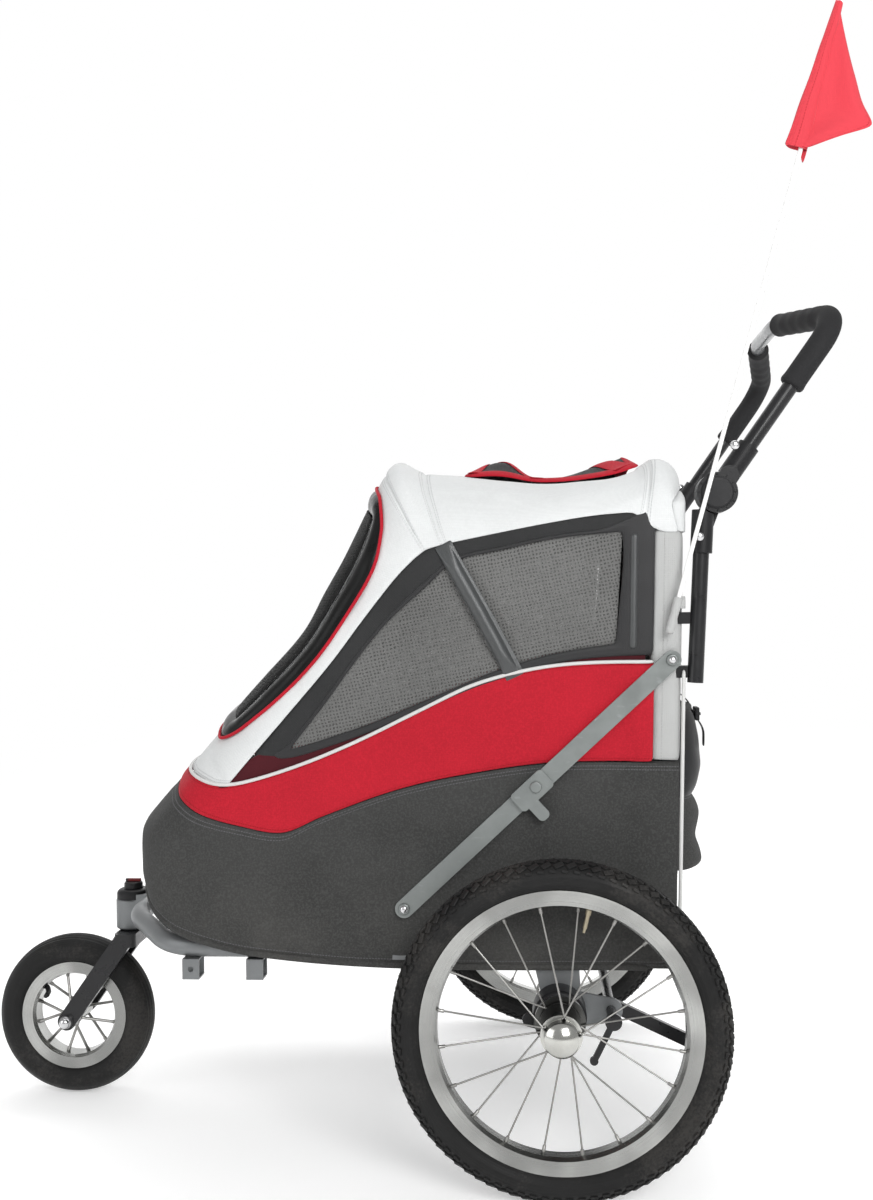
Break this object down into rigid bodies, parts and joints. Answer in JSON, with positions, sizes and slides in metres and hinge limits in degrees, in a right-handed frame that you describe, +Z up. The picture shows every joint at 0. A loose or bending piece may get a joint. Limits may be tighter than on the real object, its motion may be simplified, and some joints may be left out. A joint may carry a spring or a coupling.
{
  "type": "pet stroller",
  "caption": "Folding three-wheeled pet stroller with a mesh-windowed fabric cabin, swivelling nose wheel, spoked rear wheels, angled handle and safety flag.",
  "frame": {"origin": "on the ground, in the middle of the footprint's bounding box", "axes": "+Z up, +X towards the handle at the rear, -X towards the nose wheel, +Y towards the right-hand side of the person pushing; XZ is the plane of symmetry apart from the flag and the tow sockets"},
  "size_m": [1.1726, 0.692, 1.3864],
  "materials": {
    "frame_grey": "satin grey powder coat",
    "tube_black": "gloss black paint",
    "bright_aluminium": "polished",
    "spoke_steel": "bright",
    "chrome": "polished",
    "zinc_steel": "zinc plated",
    "tyre_rubber": "matte",
    "black_plastic": "moulded",
    "red_plastic": "gloss",
    "white_rod": "gloss",
    "foam_grip": "foam",
    "floor_plastic": "textured",
    "mat_fabric": "quilted",
    "charcoal_fabric": "woven",
    "red_fabric": "woven",
    "white_fabric": "woven",
    "border_fabric": "woven",
    "netting": "open mesh",
    "sleeve_fabric": "woven"
  },
  "bodies": {
    "chassis": {"base_frame": "frame_grey", "cross_tubes": "frame_grey", "axle_beam": "frame_grey", "axle_plates": "frame_grey", "axle_housings": "black_plastic", "wheel_axles": "zinc_steel", "floor_board": "floor_plastic", "floor_mat": "mat_fabric", "head_housing": "frame_grey", "head_cap": "black_plastic", "tow_sockets": "frame_grey", "frame_brackets": "frame_grey", "frame_pins": "zinc_steel", "skirt": "charcoal_fabric", "red_band": "red_fabric", "canopy": "white_fabric", "side_windows": "border_fabric", "side_mesh": "netting", "roof_hatch": "netting"},
    "front_flap": {"front_window": "border_fabric", "front_mesh": "netting"},
    "swivel_lock": {"swivel_knob": "red_plastic"},
    "nose_fork": {"fork": "tube_black", "nose_axle": "zinc_steel"},
    "nose_wheel": {"nose_tyre": "tyre_rubber", "nose_rim": "bright_aluminium", "nose_spokes": "spoke_steel", "nose_hub": "bright_aluminium"},
    "parking_brake": {"brake_bar": "tube_black"},
    "back": {"back_frame": "tube_black", "back_sleeves": "sleeve_fabric", "tube_clamps": "black_plastic", "handle_tubes": "tube_black", "hinge_sockets": "black_plastic", "brace_pins": "zinc_steel", "flag_pole": "white_rod", "flag": "red_fabric"},
    "rear_hatch": {"rear_door": "white_fabric", "rear_bag": "charcoal_fabric"},
    "handle": {"handle_bar": "tube_black", "grips": "foam_grip", "hinge_arms": "black_plastic"},
    "roof_support": {"roof_bow": "tube_black"},
    "rear_wheel_left": {"rear_tyre_left": "tyre_rubber", "rear_rim_left": "bright_aluminium", "rear_spokes_left": "spoke_steel", "rear_hub_left": "chrome"},
    "button_left": {"hinge_button_left": "black_plastic"},
    "lower_brace_left": {"brace_lower_left": "frame_grey"},
    "upper_brace_left": {"brace_upper_left": "frame_grey"},
    "brace_latch_left": {"latch_left": "zinc_steel"},
    "rear_wheel_right": {"rear_tyre_right": "tyre_rubber", "rear_rim_right": "bright_aluminium", "rear_spokes_right": "spoke_steel", "rear_hub_right": "chrome"},
    "button_right": {"hinge_button_right": "black_plastic"},
    "lower_brace_right": {"brace_lower_right": "frame_grey"},
    "upper_brace_right": {"brace_upper_right": "frame_grey"},
    "brace_latch_right": {"latch_right": "zinc_steel"}
  },
  "joints": [
    {"name": "frame_fold", "type": "hinge", "parent": "chassis", "child": "back", "pos_m": [0.335, 0, 0.328], "axis": [0, -1, 0], "range_deg": [0, 80], "deforming": ["skirt", "red_band", "canopy", "side_windows", "side_mesh", "roof_hatch", "front_window", "front_mesh"]},
    {"name": "roof_bow_fold", "type": "hinge", "parent": "chassis", "child": "roof_support", "pos_m": [0.317, 0, 0.287], "axis": [0, -1, 0], "range_deg": [0, 55]},
    {"name": "lower_brace_fold_left", "type": "hinge", "parent": "chassis", "child": "lower_brace_left", "pos_m": [0.021, -0.243, 0.319], "axis": [0, -1, 0], "range_deg": [0, 104.62]},
    {"name": "upper_brace_fold_left", "type": "hinge", "parent": "back", "child": "upper_brace_left", "pos_m": [0.34402, -0.247, 0.61486], "axis": [0, 1, 0], "range_deg": [0, 135.62]},
    {"name": "brace_latch_turn_left", "type": "hinge", "parent": "upper_brace_left", "child": "brace_latch_left", "pos_m": [0.18102, -0.25, 0.46557], "axis": [0, -1, 0], "range_deg": [0, 40]},
    {"name": "lower_brace_fold_right", "type": "hinge", "parent": "chassis", "child": "lower_brace_right", "pos_m": [0.021, 0.243, 0.319], "axis": [0, -1, 0], "range_deg": [0, 104.62]},
    {"name": "upper_brace_fold_right", "type": "hinge", "parent": "back", "child": "upper_brace_right", "pos_m": [0.34402, 0.247, 0.61486], "axis": [0, 1, 0], "range_deg": [0, 135.62]},
    {"name": "brace_latch_turn_right", "type": "hinge", "parent": "upper_brace_right", "child": "brace_latch_right", "pos_m": [0.18102, 0.25, 0.46557], "axis": [0, -1, 0], "range_deg": [0, 40]},
    {"name": "handle_angle", "type": "hinge", "parent": "back", "child": "handle", "pos_m": [0.4, 0, 0.812], "axis": [0, -1, 0], "range_deg": [-90, 45]},
    {"name": "hinge_button_press_left", "type": "slide", "parent": "handle", "child": "button_left", "axis": [0, 1, 0], "range_m": [0, 0.004], "stiffness_N_per_m": 800, "springref_m": -0.001},
    {"name": "hinge_button_press_right", "type": "slide", "parent": "handle", "child": "button_right", "axis": [0, -1, 0], "range_m": [0, 0.004], "stiffness_N_per_m": 800, "springref_m": -0.001},
    {"name": "rear_hatch_open", "type": "hinge", "parent": "back", "child": "rear_hatch", "pos_m": [0.34059, 0, 0.34683], "axis": [0, -1, 0], "range_deg": [-100, 0]},
    {"name": "front_flap_open", "type": "hinge", "parent": "chassis", "child": "front_flap", "pos_m": [-0.0353, 0, 0.826], "axis": [0, -1, 0], "range_deg": [-100, 0]},
    {"name": "nose_swivel", "type": "hinge", "parent": "chassis", "child": "nose_fork", "pos_m": [-0.392, 0, 0.25], "axis": [0, 0, 1], "continuous": true},
    {"name": "swivel_lock_turn", "type": "hinge", "parent": "chassis", "child": "swivel_lock", "pos_m": [-0.392, 0, 0.292], "axis": [0, 0, 1], "range_deg": [0, 90]},
    {"name": "nose_wheel_spin", "type": "hinge", "parent": "nose_fork", "child": "nose_wheel", "pos_m": [-0.475, 0, 0.1116], "axis": [0, 1, 0], "continuous": true},
    {"name": "rear_wheel_spin_left", "type": "hinge", "parent": "chassis", "child": "rear_wheel_left", "pos_m": [0.205, -0.3, 0.195], "axis": [0, 1, 0], "continuous": true},
    {"name": "rear_wheel_spin_right", "type": "hinge", "parent": "chassis", "child": "rear_wheel_right", "pos_m": [0.205, 0.3, 0.195], "axis": [0, 1, 0], "continuous": true},
    {"name": "parking_brake_press", "type": "hinge", "parent": "chassis", "child": "parking_brake", "pos_m": [0.267, 0, 0.195], "axis": [0, 1, 0], "range_deg": [0, 28]}
  ],
  "couplings": [
    {"joint": "roof_bow_fold", "follows": "frame_fold", "ratio": 0.6875},
    {"joint": "lower_brace_fold_left", "follows": "frame_fold", "ratio": 1.3076},
    {"joint": "upper_brace_fold_left", "follows": "frame_fold", "ratio": 1.6951},
    {"joint": "lower_brace_fold_right", "follows": "frame_fold", "ratio": 1.3076},
    {"joint": "upper_brace_fold_right", "follows": "frame_fold", "ratio": 1.6951}
  ]
}
